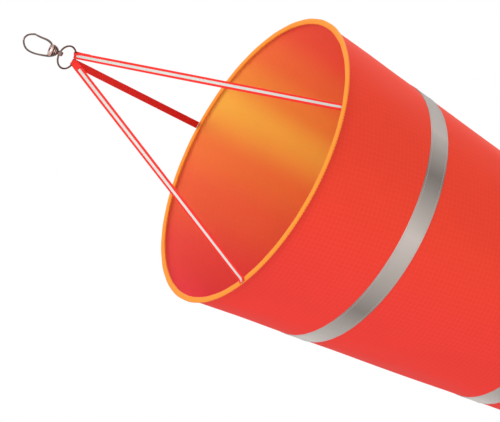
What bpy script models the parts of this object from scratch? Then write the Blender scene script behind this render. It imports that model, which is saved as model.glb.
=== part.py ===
"""Windsock: a tapered cloth sleeve with reflective bands and an orange binding round its mouth, flown from
three webbing straps, a wire ring and a swivelling snap hook.

Metres, +Z up. The origin is the inside of the hook's bow, and +X runs along the sleeve's axis to its tail.
Run it with blender --background --python part.py, or from Blender's text editor.
"""

import math

import bmesh
import bpy
from mathutils import Euler, Vector

# Sleeve: a straight cone, open at both ends
MOUTH_X = 0.270
SLEEVE_LENGTH = 0.880
MOUTH_RADIUS = 0.150
TAIL_RADIUS = 0.050
CLOTH = 0.0012
GAP = 0.0003
ROUND_STEPS = 72

# Mouth binding: an oval roll on the mouth's edge
BINDING_RADIUS = 0.1497
BINDING_HALF_DEPTH = 0.0016
BINDING_HALF_WIDTH = 0.0029
BINDING_POINTS = 12

# Reflective bands, at one pitch down the sleeve
BAND_COUNT = 4
BAND_START = 0.112
BAND_PITCH = 0.208
BAND_WIDTH = 0.023
BAND_THICKNESS = 0.0010

# Snap hook, laid out in its own frame: x along the stud to the sock, y towards the gate, z through the loop
HOOK_YAW = math.radians(-7.8)
HOOK_ROLL = math.radians(138.0)
HOOK_WIRE = 0.0018
GATE_WIRE = 0.0020
NOSE_RADIUS = 0.00110
HOUSING_START = 0.0262
HOUSING_END = 0.0328
HOUSING_FLATTEN = 0.68
STUD_RADIUS = 0.0011
GATE_PIVOT = Vector((0.0284, 0.0042, 0.0))
GATE_PIN_RADIUS = 0.0005
GATE_PIN_HALF = 0.0025
GATE_KNUCKLE = 0.0016

# Swivel eye and wire ring
EYE_X = 0.03675
EYE_HOLE = 0.0016
EYE_OUTER = 0.0034
EYE_HALF = 0.0022
RING_RADIUS = 0.0113
RING_WIRE = 0.0018
RING_TURN = Euler((math.radians(137.46), math.radians(-16.87), math.radians(16.65)))

# Bridle of three webbing straps
WEBBING = 0.0070
WEBBING_THICKNESS = 0.0010
STRIPE = 0.0026
STRIPE_THICKNESS = 0.0008
FOLD_RADIUS = 0.00175
FOLD_SPREAD = math.radians(17.0)
SEWN_X = 0.0060
TAIL_LENGTH = 0.0080
STRAP_ANGLES = {1: math.radians(196.2), 2: math.radians(276.0), 3: math.radians(52.9)}
RING_ANGLES = {1: math.radians(31.5), 3: math.radians(-5.0)}
STRAP_SEGMENTS = 12


# ---------------------------------------------------------------- scene and materials

def clear_scene():
    for item in list(bpy.data.objects):
        bpy.data.objects.remove(item, do_unlink=True)


def new_collection(name):
    collection = bpy.data.collections.new(name)
    bpy.context.scene.collection.children.link(collection)
    return collection


def new_material(name, colour, roughness, metallic=0.0):
    material = bpy.data.materials.new(name)
    material.use_nodes = True
    shader = material.node_tree.nodes["Principled BSDF"]
    shader.inputs["Base Color"].default_value = (*colour, 1.0)
    shader.inputs["Roughness"].default_value = roughness
    shader.inputs["Metallic"].default_value = metallic
    material.diffuse_color = (*colour, 1.0)
    return material


# ---------------------------------------------------------------- shapes

def add_object(name, mesh, collection, material=None, parent=None):
    item = bpy.data.objects.new(name, mesh)
    collection.objects.link(item)
    item.parent = parent
    if material:
        mesh.materials.append(material)
    return item


def turned(name, profile, collection, material=None, parent=None, steps=ROUND_STEPS, closed=True):
    """Turns (along, radius) points round the object's +X. The points run down the outer side, far end first."""
    mesh = bpy.data.meshes.new(name)
    last = len(profile) if closed else len(profile) - 1
    edges = [(i, (i + 1) % len(profile)) for i in range(last)]
    mesh.from_pydata([(along, 0.0, -radius) for along, radius in profile], edges, [])
    item = add_object(name, mesh, collection, material, parent)
    screw = item.modifiers.new("Turn", "SCREW")
    screw.axis = "X"
    screw.steps = steps
    screw.render_steps = steps
    screw.use_merge_vertices = True
    screw.merge_threshold = 0.00002
    return item


def ribbon(name, rows, thickness, collection, material):
    """A strip through rows of points across it, made solid on both faces."""
    mesh = bpy.data.meshes.new(name)
    strip = bmesh.new()
    made = [[strip.verts.new(point) for point in row] for row in rows]
    for row, following in zip(made, made[1:]):
        for i in range(len(row) - 1):
            strip.faces.new((row[i], row[i + 1], following[i + 1], following[i]))
    strip.to_mesh(mesh)
    strip.free()
    item = add_object(name, mesh, collection, material)
    solidify = item.modifiers.new("Webbing", "SOLIDIFY")
    solidify.thickness = thickness
    solidify.offset = 0.0
    solidify.use_even_offset = True
    return item


def bent_wire(name, points, diameter, collection, material=None, parent=None):
    """A round wire on a smooth curve through its control points, as a mesh with welded caps."""
    data = bpy.data.curves.new(name, "CURVE")
    data.dimensions = "3D"
    data.bevel_depth = diameter / 2
    data.bevel_resolution = 3
    data.resolution_u = 5
    data.use_fill_caps = True
    spline = data.splines.new("NURBS")
    spline.points.add(len(points) - 1)
    for spot, (x, y) in zip(spline.points, points):
        spot.co = (x, y, 0.0, 1.0)
    spline.order_u = 4
    spline.use_endpoint_u = True
    curve = bpy.data.objects.new(name + "_curve", data)
    collection.objects.link(curve)
    bpy.context.view_layer.update()
    mesh = bpy.data.meshes.new_from_object(curve.evaluated_get(bpy.context.evaluated_depsgraph_get()))
    bpy.data.objects.remove(curve, do_unlink=True)
    welded = bmesh.new()
    welded.from_mesh(mesh)
    bmesh.ops.remove_doubles(welded, verts=welded.verts, dist=0.00001)
    welded.to_mesh(mesh)
    welded.free()
    mesh.name = name
    return add_object(name, mesh, collection, material, parent)


def round_bar(name, radius, length, centre, collection, turn=(0.0, 0.0, 0.0), parent=None, sides=16):
    """A plain cylinder, along the object's z before it is turned."""
    mesh = bpy.data.meshes.new(name)
    bar = bmesh.new()
    bmesh.ops.create_cone(bar, cap_ends=True, segments=sides, radius1=radius, radius2=radius, depth=length)
    bar.to_mesh(mesh)
    bar.free()
    item = add_object(name, mesh, collection, None, parent)
    item.location = centre
    item.rotation_euler = turn
    return item


def block(name, low, high, collection, parent=None):
    mesh = bpy.data.meshes.new(name)
    cube = bmesh.new()
    bmesh.ops.create_cube(cube, size=1.0)
    low, high = Vector(low), Vector(high)
    for vert in cube.verts:
        vert.co = [(vert.co[i] + 0.5) * (high[i] - low[i]) + low[i] for i in range(3)]
    cube.to_mesh(mesh)
    cube.free()
    return add_object(name, mesh, collection, None, parent)


def combine(item, other, operation):
    """A Boolean of one object by another, which then only shapes it."""
    boolean = item.modifiers.new(other.name, "BOOLEAN")
    boolean.operation = operation
    boolean.solver = "EXACT"
    boolean.object = other
    other.hide_render = True
    other.display_type = "WIRE"


def smooth(item, angle=40.0):
    """Shades a round piece smooth but keeps its real edges."""
    item.data.shade_smooth()
    item.data.set_sharp_from_angle(angle=math.radians(angle))


# ---------------------------------------------------------------- sleeve, binding and bands

def sleeve_radius(x):
    """Outer radius of the cloth at a place along the part."""
    share = (x - MOUTH_X) / SLEEVE_LENGTH
    return MOUTH_RADIUS + share * (TAIL_RADIUS - MOUTH_RADIUS)


def cone_shell(name, start, end, lift, thickness, collection, material):
    """A shell round the sleeve's axis between two places, lifted off the cloth's outer face."""
    near, far = sleeve_radius(start) + lift, sleeve_radius(end) + lift
    profile = [
        (end, far + thickness),
        (start, near + thickness),
        (start, near),
        (end, far),
    ]
    item = turned(name, profile, collection, material)
    smooth(item)
    return item


def build_sleeve(collection, material):
    start = MOUTH_X + BINDING_HALF_DEPTH + GAP
    return cone_shell("sleeve", start, MOUTH_X + SLEEVE_LENGTH, -CLOTH, CLOTH, collection, material)


def build_binding(collection, material):
    turns = [-2 * math.pi * i / BINDING_POINTS for i in range(BINDING_POINTS)]
    profile = [
        (
            MOUTH_X + BINDING_HALF_DEPTH * math.cos(turn),
            BINDING_RADIUS - BINDING_HALF_WIDTH * math.sin(turn),
        )
        for turn in reversed(turns)
    ]
    profile.reverse()
    item = turned("mouth_binding", profile, collection, material)
    smooth(item, 80.0)
    return item


def build_bands(collection, material):
    for i in range(BAND_COUNT):
        start = MOUTH_X + BAND_START + i * BAND_PITCH
        cone_shell(
            f"reflective_band_{i + 1}", start, start + BAND_WIDTH, GAP, BAND_THICKNESS, collection, material
        )


# ---------------------------------------------------------------- snap hook

def hook_frame():
    """The hook's own axes in the part: x along the stud, y to the gate, z through the loop."""
    turn = Euler((HOOK_ROLL, 0.0, HOOK_YAW)).to_matrix()
    return turn @ Vector((1, 0, 0)), turn @ Vector((0, 1, 0)), turn @ Vector((0, 0, 1))


def build_hook(parts, cutters, material):
    holder = bpy.data.objects.new("hook_axis", None)
    parts.objects.link(holder)
    holder.rotation_euler = Euler((HOOK_ROLL, 0.0, HOOK_YAW))

    housing_profile = [
        (HOUSING_END, 0.0),
        (HOUSING_END, 0.0045),
        (0.0325, 0.0049),
        (0.0319, 0.0051),
        (0.0316, 0.0048),
        (0.0311, 0.0050),
        (0.0308, 0.0055),
        (0.0299, 0.0058),
        (0.0296, 0.0055),
        (0.0286, 0.0058),
        (0.0283, 0.0063),
        (0.0266, 0.0065),
        (HOUSING_START, 0.0061),
        (HOUSING_START, 0.0),
    ]
    hook = turned("hook_frame", housing_profile, parts, material, holder, steps=32, closed=False)
    hook.scale = (1.0, 1.0, HOUSING_FLATTEN)

    loop_points = [
        (0.0318, -0.0038),
        (0.0288, -0.0060),
        (0.0250, -0.0070),
        (0.0210, -0.0080),
        (0.0128, -0.0093),
        (0.0042, -0.0086),
        (-0.0003, -0.0034),
        (-0.0017, 0.0009),
        (0.0010, 0.0060),
        (0.0058, 0.0077),
        (0.0076, 0.0083),
    ]
    loop = bent_wire("hook_loop", loop_points, HOOK_WIRE, cutters, parent=holder)
    nose = bpy.data.meshes.new("hook_nose")
    ball = bmesh.new()
    bmesh.ops.create_uvsphere(ball, u_segments=16, v_segments=10, radius=NOSE_RADIUS)
    ball.to_mesh(nose)
    ball.free()
    nose = add_object("hook_nose", nose, cutters, None, holder)
    nose.location = (*loop_points[-1], 0.0)
    bore = round_bar(
        "stud_bore", STUD_RADIUS + GAP, 0.012, (0.0295, 0.0, 0.0), cutters, (0.0, math.pi / 2, 0.0), holder
    )
    slot_half = GATE_WIRE / 2 + GAP
    reach = GATE_KNUCKLE + GAP
    slot = block(
        "gate_slot",
        (HOUSING_START - 0.001, GATE_PIVOT.y - reach, -slot_half),
        (GATE_PIVOT.x + reach, GATE_PIVOT.y + 0.004, slot_half),
        cutters,
        holder,
    )
    pin = round_bar("gate_pin", GATE_PIN_RADIUS, 2 * GATE_PIN_HALF, GATE_PIVOT, cutters, parent=holder)
    combine(hook, loop, "UNION")
    combine(hook, nose, "UNION")
    combine(hook, bore, "DIFFERENCE")
    combine(hook, slot, "DIFFERENCE")
    combine(hook, pin, "UNION")
    smooth(hook, 35.0)
    return holder


def build_gate(parts, cutters, material, holder):
    """The sprung gate, with its origin on its pivot."""
    spots = [(0.0090, 0.0080), (0.0151, 0.0073), (0.0201, 0.0080), (0.0244, 0.0065), GATE_PIVOT[:2]]
    gate = bent_wire(
        "gate", [(along - GATE_PIVOT.x, up - GATE_PIVOT.y) for along, up in spots], GATE_WIRE, parts, material, holder
    )
    gate.location = GATE_PIVOT
    knuckle = round_bar("gate_knuckle", GATE_KNUCKLE, GATE_WIRE, GATE_PIVOT, cutters, parent=holder)
    hole = round_bar("gate_hole", GATE_PIN_RADIUS + GAP, 0.006, GATE_PIVOT, cutters, parent=holder)
    combine(gate, knuckle, "UNION")
    combine(gate, hole, "DIFFERENCE")
    smooth(gate, 35.0)
    return gate


# ---------------------------------------------------------------- swivel eye and ring

def build_eye(parts, cutters, material):
    """The eye that the ring runs in, with the stud that turns in the hook's housing."""
    stud_axis, _, _ = hook_frame()
    ring_axes = RING_TURN.to_matrix()
    corner = 0.0007
    eye_profile = [
        (EYE_HALF - corner, EYE_OUTER),
        (corner - EYE_HALF, EYE_OUTER),
        (-EYE_HALF, EYE_OUTER - corner),
        (-EYE_HALF, EYE_HOLE + corner),
        (corner - EYE_HALF, EYE_HOLE),
        (EYE_HALF - corner, EYE_HOLE),
        (EYE_HALF, EYE_HOLE + corner),
        (EYE_HALF, EYE_OUTER - corner),
    ]
    eye = turned("swivel_eye", eye_profile, parts, material, steps=32)
    eye.location = stud_axis * EYE_X
    eye.rotation_euler = (ring_axes @ Vector((0, 1, 0))).to_track_quat("X", "Z").to_euler()

    stud_profile = [
        (EYE_X - EYE_HOLE - 0.0008, 0.0),
        (EYE_X - EYE_HOLE - 0.0008, 0.0016),
        (HOUSING_END + 0.0013, 0.0032),
        (HOUSING_END + 0.0009, 0.0040),
        (HOUSING_END + GAP, 0.0042),
        (HOUSING_END + GAP, STUD_RADIUS),
        (HOUSING_START - GAP, STUD_RADIUS),
        (HOUSING_START - GAP, 0.0017),
        (HOUSING_START - 0.0010, 0.0017),
        (HOUSING_START - 0.0015, 0.0011),
        (HOUSING_START - 0.0015, 0.0),
    ]
    stud = turned("swivel_stud", stud_profile, cutters, steps=24, closed=False)
    stud.rotation_euler = Euler((0.0, 0.0, HOOK_YAW))
    combine(eye, stud, "UNION")
    smooth(eye, 35.0)
    return eye


def ring_centre():
    return hook_frame()[0] * EYE_X + RING_TURN.to_matrix() @ Vector((RING_RADIUS, 0, 0))


def build_ring(collection, material):
    bpy.ops.mesh.primitive_torus_add(
        major_segments=48, minor_segments=10, major_radius=RING_RADIUS, minor_radius=RING_WIRE / 2
    )
    ring = bpy.context.object
    ring.name = "wire_ring"
    for owner in list(ring.users_collection):
        owner.objects.unlink(ring)
    collection.objects.link(ring)
    ring.location = ring_centre()
    ring.rotation_euler = RING_TURN
    ring.data.materials.append(material)
    smooth(ring, 80.0)
    return ring


# ---------------------------------------------------------------- straps

def on_rim(x, radius, angle):
    """A point given along the axis, out from it and round it."""
    return Vector((x, radius * math.cos(angle), radius * math.sin(angle)))


def ring_spot(angle):
    """A point of the ring's wire and the wire's direction there."""
    turn = RING_TURN.to_matrix()
    out = turn @ Vector((math.cos(angle), math.sin(angle), 0.0))
    along = turn @ Vector((-math.sin(angle), math.cos(angle), 0.0))
    return ring_centre() + out * RING_RADIUS, along


def square_to(vector, axis):
    """The part of a vector that is square to an axis, at unit length."""
    return (vector - axis * vector.dot(axis)).normalized()


def rim_end(number):
    """Where each strap meets the mouth: strap 1 tucks inside, and the others end on the binding's face."""
    angle = STRAP_ANGLES[number]
    if number == 1:
        stations = [(-0.0050, 0.1420), (-0.0005, 0.1447), (0.0035, 0.1461), (0.0080, 0.1460), (0.0145, 0.1454)]
    else:
        stations = [(-0.0065, 0.1460), (-0.0042, 0.1478), (-0.0028, 0.1494), (-0.0026, 0.1517)]
    return [on_rim(MOUTH_X + x, radius, angle) for x, radius in stations]


def run_sides(path, first_side, last_side):
    """Width directions along a strap, turning evenly from one end's to the other's."""
    sides = []
    for i, point in enumerate(path):
        before, after = path[max(i - 1, 0)], path[min(i + 1, len(path) - 1)]
        travelled = (point - path[0]).length / (path[-1] - path[0]).length
        side = first_side.lerp(last_side, min(travelled, 1.0))
        sides.append(square_to(side, (after - before).normalized()))
    return sides


def straight(start, end, segments):
    """Points of a straight run without its end, closer together over its first few millimetres."""
    near = [start + (end - start).normalized() * step for step in (0.0, 0.004, 0.008)]
    return near + [start.lerp(end, i / segments) for i in range(1, segments)]


def facing(vector, number):
    """The vector or its opposite, whichever points away from the sleeve's axis on a strap's side."""
    return vector if vector.dot(on_rim(-0.5, 1.0, STRAP_ANGLES[number])) > 0 else -vector


def across(path, sides, width=WEBBING):
    """Rows of three points across a strap."""
    return [[point + side * (k * width / 2) for k in (-1, 0, 1)] for point, side in zip(path, sides)]


def fold_rows(number, tail_end, main_end):
    """Rows of a strap's fold. Each of its three lines bends round the wire where it crosses the wire's curve,
    from the layer that runs towards tail_end to the one that runs towards main_end."""
    middle, _ = ring_spot(RING_ANGLES[number])
    lines = []
    for k in (-1, 0, 1):
        spot, along = ring_spot(RING_ANGLES[number] + k * FOLD_SPREAD)
        tail_way = square_to(tail_end - middle, along)
        main_way = square_to(main_end - middle, along)
        main_face = facing(along.cross(main_way), number)
        if number == 3:
            tail_face = facing(along.cross(tail_way), 2)
        else:
            tail_face = -main_face
        back = -(tail_way + main_way).normalized()
        spread = main_face.angle(back)
        line = []
        for i in range(9):
            turn = spread * (1 - i / 4)
            lean = square_to(tail_face if turn > 0 else main_face, back)
            line.append(spot + (back * math.cos(turn) + lean * math.sin(abs(turn))) * FOLD_RADIUS)
        lines.append(line)
    return [list(row) for row in zip(*lines)]


def strap_rows():
    """Each strap's rows of points, and how many of them its fold takes."""
    strips = {}
    ends = {number: rim_end(number) for number in STRAP_ANGLES}
    spots = {number: ring_spot(angle) for number, angle in RING_ANGLES.items()}

    def last_side(number, first):
        angle = STRAP_ANGLES[number]
        side = Vector((0, -math.sin(angle), math.cos(angle)))
        return side if side.dot(first) > 0 else -side

    # Strap 1 folds back on itself, with its tail on the side of the sleeve's axis.
    spot, along = spots[1]
    heading = (ends[1][0] - spot).normalized()
    side = square_to(along, heading)
    out = facing(heading.cross(side), 1)
    layer = WEBBING_THICKNESS / 2 + GAP / 2
    tail = [spot + heading * (SEWN_X + TAIL_LENGTH * k / 2) - out * layer for k in (2, 1, 0)]
    front = spot + heading * SEWN_X + out * layer
    main = straight(front, ends[1][0], STRAP_SEGMENTS) + ends[1]
    fold = fold_rows(1, ends[1][0], ends[1][0])
    rows = across(tail, [side] * 3) + fold + across(main, run_sides(main, side, last_side(1, side)))
    strips[1] = (rows, 3 + len(fold))

    # Strap 3 wraps the ring the other way, and its tail lies over the end of strap 2.
    spot, along = spots[3]
    heading = (ends[3][0] - spot).normalized()
    side = square_to(along, heading)
    tail_way = (ends[2][0] - spot).normalized()
    tail_side = square_to(along, tail_way)
    over = facing(tail_way.cross(tail_side), 2)
    tail = [spot + tail_way * (TAIL_LENGTH * k / 2) + over * FOLD_RADIUS for k in (2, 1)]
    start = spot + facing(heading.cross(side), 3) * FOLD_RADIUS + heading * 0.003
    main = straight(start, ends[3][0], STRAP_SEGMENTS) + ends[3]
    fold = fold_rows(3, ends[2][0], ends[3][0])
    rows = across(tail, [tail_side] * 2) + fold + across(main, run_sides(main, side, last_side(3, side)))
    strips[3] = (rows, 2 + len(fold))

    # Strap 2 starts between strap 3's two layers, close under the tail.
    start = spot + over * (FOLD_RADIUS - WEBBING_THICKNESS - GAP) + tail_way * 0.0026
    main = straight(start, ends[2][0], STRAP_SEGMENTS) + ends[2]
    strips[2] = (across(main, run_sides(main, tail_side, last_side(2, tail_side))), 0)
    return strips


def outer_rows(rows, number, lift):
    """Narrower rows for a stripe, lifted off a strap's outer face, which turns away from the sleeve's axis."""
    lifted = []
    for i, row in enumerate(rows):
        before, after = rows[max(i - 1, 0)], rows[min(i + 1, len(rows) - 1)]
        side = (row[2] - row[0]).normalized()
        normal = facing((after[1] - before[1]).normalized().cross(side).normalized(), number)
        lifted.append([row[1] + normal * lift + side * (k * STRIPE / 2) for k in (-1, 1)])
    return lifted


def build_straps(collection, webbing, reflective):
    stripe_runs = {1: (0, -3), 2: (2, 0), 3: (1, 0)}
    lift = WEBBING_THICKNESS / 2 + GAP + STRIPE_THICKNESS / 2
    for number, (rows, fold) in sorted(strap_rows().items()):
        ribbon(f"bridle_strap_{number}", rows, WEBBING_THICKNESS, collection, webbing)
        first, trim = stripe_runs[number]
        run = rows[fold + first : len(rows) + trim]
        lines = outer_rows(run, number, lift)
        ribbon(f"strap_stripe_{number}", lines, STRIPE_THICKNESS, collection, reflective)


def main():
    clear_scene()
    parts = new_collection("windsock")
    cutters = new_collection("cutters")
    red_cloth = new_material("red_cloth", (0.80, 0.055, 0.033), 0.62)
    orange_binding = new_material("orange_binding", (0.92, 0.34, 0.045), 0.6)
    red_webbing = new_material("red_webbing", (0.76, 0.035, 0.025), 0.7)
    silver_tape = new_material("silver_tape", (0.50, 0.49, 0.47), 0.38)
    dark_metal = new_material("dark_metal", (0.34, 0.27, 0.24), 0.28, 1.0)

    build_sleeve(parts, red_cloth)
    build_binding(parts, orange_binding)
    build_bands(parts, silver_tape)
    build_straps(parts, red_webbing, silver_tape)
    build_ring(parts, dark_metal)
    build_eye(parts, cutters, dark_metal)
    holder = build_hook(parts, cutters, dark_metal)
    build_gate(parts, cutters, dark_metal, holder)


main()
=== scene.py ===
"""A windsock flying level: a tapered red sleeve with silver bands and an orange bound mouth, pulled by three
webbing straps that meet on a wire ring, which turns in the eye of a swivel snap hook."""

import math

import bmesh
import bpy
import numpy as np
from mathutils import Euler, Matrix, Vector


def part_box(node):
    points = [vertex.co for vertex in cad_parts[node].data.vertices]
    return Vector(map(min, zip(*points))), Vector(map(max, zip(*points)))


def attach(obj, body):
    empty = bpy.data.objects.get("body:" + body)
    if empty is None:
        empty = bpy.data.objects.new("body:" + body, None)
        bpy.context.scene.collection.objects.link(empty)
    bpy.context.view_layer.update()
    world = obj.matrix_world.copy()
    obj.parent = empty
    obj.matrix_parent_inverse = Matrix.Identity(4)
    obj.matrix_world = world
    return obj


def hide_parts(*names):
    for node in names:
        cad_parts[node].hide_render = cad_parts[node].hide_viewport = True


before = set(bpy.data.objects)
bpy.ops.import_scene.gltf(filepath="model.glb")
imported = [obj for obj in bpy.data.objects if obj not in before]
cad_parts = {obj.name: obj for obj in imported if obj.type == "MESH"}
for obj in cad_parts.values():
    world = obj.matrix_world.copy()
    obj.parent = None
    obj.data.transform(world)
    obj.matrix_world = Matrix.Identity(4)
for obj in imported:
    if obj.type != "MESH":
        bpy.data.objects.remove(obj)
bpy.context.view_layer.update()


# ---- Sleeve
# One fan-shaped cut of thin coated ripstop nylon, closed into a cone by a flat felled seam on its upper far
# side. It is open at both ends, and its tail edge is turned under and sewn twice.
mouth_x = 0.270
tail_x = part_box("sleeve")[1][0]
mouth_radius = 0.150
tail_radius = 0.050
cloth_thickness = 0.0005
seam_angle = math.radians(134)
seam_half_width = 0.0042
seam_rise = 0.00045
hem_depth = 0.014
hem_rise = 0.00040
ripple_height = 0.00075
pucker_height = 0.00016
thread_thickness = 0.0004
stitch_length = 0.0024
stitch_pitch = 0.0032
band_width = 0.023
band_seam = 0.0020
band_starts = [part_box(f"reflective_band_{number}")[0][0] for number in (1, 2, 3, 4)]
sewn_lines = [mouth_x, tail_x]
for band_start in band_starts:
    sewn_lines += [band_start + band_seam, band_start + band_width - band_seam]


def cone_radius(x):
    """Radius of the plain cone that the wind fills."""
    return mouth_radius + (x - mouth_x) / (tail_x - mouth_x) * (tail_radius - mouth_radius)


def ease(share):
    """A smooth step from 0 to 1."""
    share = np.clip(share, 0.0, 1.0)
    return share * share * (3 - 2 * share)


def cloth_radius(x, angle):
    """Outer face of the cloth: soft ripples where it is free, and fine puckers along each row of stitches."""
    x, angle = np.broadcast_arrays(np.asarray(x, float), np.asarray(angle, float))
    free = np.min([np.abs(x - line) for line in sewn_lines], axis=0)
    ripple = (
        0.5 * np.sin(7 * angle + 11 * x)
        + 0.3 * np.sin(12 * angle - 17 * x + 1.0)
        + 0.2 * np.sin(19 * angle + 29 * x + 2.0)
    )
    pucker = np.sin(58 * angle + 2.5 * np.sin(3 * angle)) * (0.65 + 0.35 * np.sin(5 * angle + 40 * x))
    radius = cone_radius(x) + ripple_height * ease(free / 0.07) * ripple
    radius = radius + pucker_height * np.exp(-free / 0.009) * pucker
    from_seam = np.abs((angle - seam_angle + math.pi) % math.tau - math.pi) * cone_radius(x)
    radius = radius + seam_rise * ease((seam_half_width + 0.0004 - from_seam) / 0.0008)
    return radius + hem_rise * ease((x - tail_x + hem_depth + 0.0005) / 0.0010)


def round_axis(x, radius, angle):
    """Points at a place along the sock's axis, a radius from it and an angle round it."""
    x, radius, angle = np.broadcast_arrays(x, radius, angle)
    return np.stack([x, radius * np.cos(angle), radius * np.sin(angle)], axis=-1)


def round_way(angle):
    """The direction round the axis at an angle."""
    return np.stack([np.zeros_like(angle), -np.sin(angle), np.cos(angle)], axis=-1)


def face_outward(shape):
    """Turns the faces of a closed mesh so that they all point out."""
    fixer = bmesh.new()
    fixer.from_mesh(shape)
    bmesh.ops.recalc_face_normals(fixer, faces=fixer.faces)
    fixer.to_mesh(shape)
    fixer.free()


def put_in_scene(name, data):
    piece = bpy.data.objects.new(name, data)
    bpy.context.scene.collection.objects.link(piece)
    return piece


def skin(name, grid, slots=None, capped=False, smooth=True):
    """A closed mesh over a grid of points whose rows and columns both come round to where they start.
    With capped, the rows have two ends, which are closed by flat faces."""
    rows, columns = grid.shape[:2]
    faces = []
    for row in range(rows - 1 if capped else rows):
        below, above = row * columns, (row + 1) % rows * columns
        for column in range(columns):
            after = (column + 1) % columns
            faces.append((below + column, below + after, above + after, above + column))
    if capped:
        faces.append(tuple(range(columns))[::-1])
        faces.append(tuple(range((rows - 1) * columns, rows * columns)))
    shape = bpy.data.meshes.new(name)
    shape.from_pydata(grid.reshape(-1, 3).tolist(), [], faces)
    if slots is not None:
        shape.polygons.foreach_set("material_index", np.repeat(slots, columns).astype(np.int32))
    face_outward(shape)
    if smooth:
        shape.shade_smooth()
        shape.set_sharp_from_angle(angle=math.radians(50))
    return put_in_scene(name, shape)


def sew(name, middles, along, out, material, thread=thread_thickness, length=stitch_length):
    """Rows of single stitches as one mesh. Each is a short arched thread whose ends dip into the cloth."""
    middles, along, out = (np.asarray(part, float) for part in (middles, along, out))
    along = along / np.linalg.norm(along, axis=1, keepdims=True)
    out = out - along * np.sum(out * along, axis=1, keepdims=True)
    out = out / np.linalg.norm(out, axis=1, keepdims=True)
    side = np.cross(along, out)
    places = np.array([-1.0, -0.7, 0.7, 1.0]) * length / 2
    lifts = np.array([-0.35, 0.35, 0.35, -0.35]) * thread
    widths = np.array([0.30, 0.5, 0.5, 0.30]) * thread
    turns = np.arange(6) * math.tau / 6
    rise = lifts[:, None] + widths[:, None] * np.sin(turns)
    spread = widths[:, None] * np.cos(turns)
    verts = (
        middles[:, None, None]
        + along[:, None, None] * places[:, None, None]
        + out[:, None, None] * rise[..., None]
        + side[:, None, None] * spread[..., None]
    )
    quads = []
    for ring in (0, 6, 12):
        for turn in range(6):
            after = (turn + 1) % 6
            quads.append((ring + turn, ring + after, ring + 6 + after, ring + 6 + turn))
    starts = rise.size * np.arange(len(middles))[:, None, None]
    quads = (np.array(quads) + starts).reshape(-1, 4)
    ends = (np.array([[5, 4, 3, 2, 1, 0], [18, 19, 20, 21, 22, 23]]) + starts).reshape(-1, 6)
    shape = bpy.data.meshes.new(name)
    shape.from_pydata(verts.reshape(-1, 3).tolist(), [], quads.tolist() + ends.tolist())
    face_outward(shape)
    shape.shade_smooth()
    shape.materials.append(material)
    return put_in_scene(name, shape)


def sew_round(name, x, lift, material):
    """One row of stitches round the sock at a place along it."""
    count = int(math.tau * cone_radius(x) / stitch_pitch)
    angles = (np.arange(count) + 0.5) * math.tau / count
    middles = round_axis(x, cloth_radius(x, angles) + lift, angles)
    return sew(name, middles, round_way(angles), round_axis(0.0, 1.0, angles), material)


def link_nodes(tree, kind, inputs=None, **settings):
    """Adds one shader node, with its settings, and each input either linked or given a value."""
    made = tree.nodes.new(kind)
    for key, value in settings.items():
        setattr(made, key, value)
    for key, value in (inputs or {}).items():
        if isinstance(value, bpy.types.NodeSocket):
            tree.links.new(value, made.inputs[key])
        else:
            made.inputs[key].default_value = value
    return made


def reckon(tree, operation, first, second=0.0, third=0.0):
    """The result of one sum in a shader."""
    return link_nodes(tree, "ShaderNodeMath", {0: first, 1: second, 2: third}, operation=operation).outputs[0]


def turn_share(tree, parts):
    """The share of a turn round the sock's axis, from 0 to 1, of a place split into its parts."""
    turn = reckon(tree, "ARCTAN2", parts["Z"], parts["Y"])
    return reckon(tree, "ADD", reckon(tree, "DIVIDE", turn, math.tau), 0.5)


def new_group(name, inputs, outputs):
    """An empty shader group. An input with no usual value is a vector, one with four numbers is a colour, and
    any other is a plain number."""
    group = bpy.data.node_groups.new(name, "ShaderNodeTree")
    for label, value in inputs.items():
        kind = "Vector" if value is None else "Color" if isinstance(value, tuple) else "Float"
        socket = group.interface.new_socket(label, in_out="INPUT", socket_type=f"NodeSocket{kind}")
        if value is not None:
            socket.default_value = value
    for label, kind in outputs.items():
        group.interface.new_socket(label, in_out="OUTPUT", socket_type=f"NodeSocket{kind}")
    return group, group.nodes.new("NodeGroupInput").outputs, group.nodes.new("NodeGroupOutput").inputs


def new_finish(name, roughness, metallic=0.0, specular=0.5, sheen=0.0):
    """A material with its Principled shader's plain values set."""
    material = bpy.data.materials.new(name)
    material.use_nodes = True
    tree = material.node_tree
    shader = tree.nodes["Principled BSDF"]
    plain = {"Roughness": roughness, "Metallic": metallic, "Specular IOR Level": specular}
    plain |= {"Sheen Weight": sheen, "Sheen Roughness": 0.45}
    for label, value in plain.items():
        shader.inputs[label].default_value = value
    place = tree.nodes.new("ShaderNodeTexCoord").outputs["Object"]
    return material, tree, shader, place


def as_light(red, green, blue):
    """A colour read off a paint card, from 0 to 255, as the shader's linear light."""
    steps = [value / 255 for value in (red, green, blue)]
    return [step / 12.92 if step <= 0.04045 else ((step + 0.055) / 1.055) ** 2.4 for step in steps] + [1.0]


def colour_steps(tree, place, steps, smooth="EASE"):
    """A ramp of colours. Each step is a place from 0 to 1 and a colour."""
    ramp = link_nodes(tree, "ShaderNodeValToRGB", {0: place})
    ramp.color_ramp.interpolation = smooth
    for position, colour in steps[1:-1]:
        ramp.color_ramp.elements.new(position)
    for element, (position, colour) in zip(ramp.color_ramp.elements, steps):
        element.position = position
        element.color = colour
    return ramp.outputs[0]


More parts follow.
